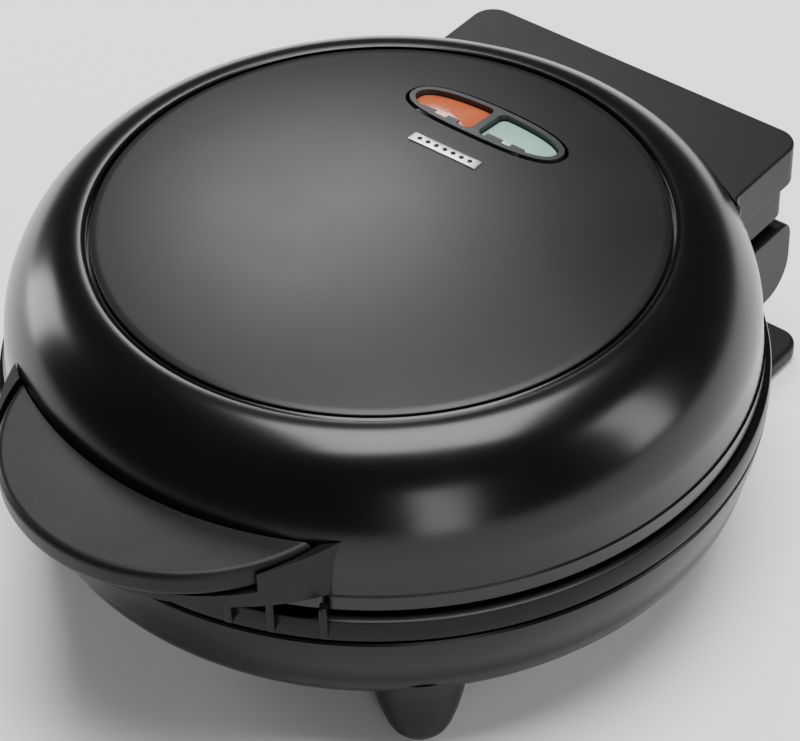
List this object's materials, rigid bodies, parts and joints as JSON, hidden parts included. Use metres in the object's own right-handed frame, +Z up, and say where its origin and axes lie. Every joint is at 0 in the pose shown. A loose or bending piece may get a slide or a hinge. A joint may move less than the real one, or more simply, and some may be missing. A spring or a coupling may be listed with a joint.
{
  "type": "donut maker",
  "caption": "Round countertop donut maker with a domed gloss lid on a rear hinge, ring-mould cooking plates, indicator window, crescent front handle, tapered feet and a rear cord-wrap stand.",
  "frame": {"origin": "centre of the bounding box in plan, on the surface that the pads stand on", "axes": "+Z up, +Y towards the hinge at the rear, -Y towards the handle, +X to the right as seen from the front"},
  "size_m": [0.224, 0.2666, 0.1152],
  "materials": {
    "gloss_black": "gloss",
    "satin_panel": "satin",
    "matte_black": "fine spark texture",
    "satin_black": "satin",
    "bezel_grey": "satin",
    "lens_red": "clear tinted plastic over a faceted back",
    "lens_green": "clear tinted plastic over a faceted back",
    "silver_trim": "brushed",
    "nonstick_plate": "non-stick coating on cast aluminium",
    "element_steel": "heat-darkened sheath",
    "reflector_sheet": "bright rolled sheet",
    "zinc_steel": "zinc plated",
    "lamp_glass": "clear",
    "heat_plastic": "matte",
    "black_rubber": "matte"
  },
  "bodies": {
    "base": {"base_shell": "satin_black", "rear_housing": "matte_black", "housing_screw_left": "zinc_steel", "housing_screw_right": "zinc_steel", "front_foot_left": "satin_black", "front_foot_right": "satin_black", "foot_screw_left": "zinc_steel", "foot_screw_right": "zinc_steel", "stand_column_left": "matte_black", "stand_column_right": "matte_black", "hinge_pin_left": "zinc_steel", "hinge_pin_right": "zinc_steel", "lower_plate": "nonstick_plate", "lower_element": "element_steel", "lower_reflector": "reflector_sheet", "lower_plate_screw_1": "zinc_steel", "lower_plate_screw_2": "zinc_steel", "lower_plate_screw_3": "zinc_steel", "thermostat": "heat_plastic", "thermal_fuse": "silver_trim", "terminal_block": "heat_plastic", "cable_gland": "black_rubber", "rear_stand": "matte_black", "foot_pad_left": "black_rubber", "foot_pad_right": "black_rubber", "stand_screw_left": "zinc_steel", "stand_screw_right": "zinc_steel", "stand_pad_left": "black_rubber", "stand_pad_right": "black_rubber"},
    "lid": {"lid_shell": "gloss_black", "hinge_block": "matte_black", "block_screw_left": "zinc_steel", "block_screw_right": "zinc_steel", "top_panel": "satin_panel", "indicator_bezel": "bezel_grey", "red_lens": "lens_red", "green_lens": "lens_green", "badge_strip": "silver_trim", "lamp_holder": "heat_plastic", "power_lamp": "lamp_glass", "ready_lamp": "lamp_glass", "handle_cap": "matte_black", "handle_skirt": "matte_black", "handle_screw_left": "zinc_steel", "handle_screw_right": "zinc_steel", "skirt_screw_left": "zinc_steel", "skirt_screw_right": "zinc_steel", "upper_plate": "nonstick_plate", "upper_element": "element_steel", "upper_reflector": "reflector_sheet", "upper_plate_screw_1": "zinc_steel", "upper_plate_screw_2": "zinc_steel", "upper_plate_screw_3": "zinc_steel"}
  },
  "joints": [
    {"name": "lid_hinge", "type": "hinge", "parent": "base", "child": "lid", "pos_m": [0, 0.1157, 0.047], "axis": [-1, 0, 0], "range_deg": [0, 100]}
  ]
}
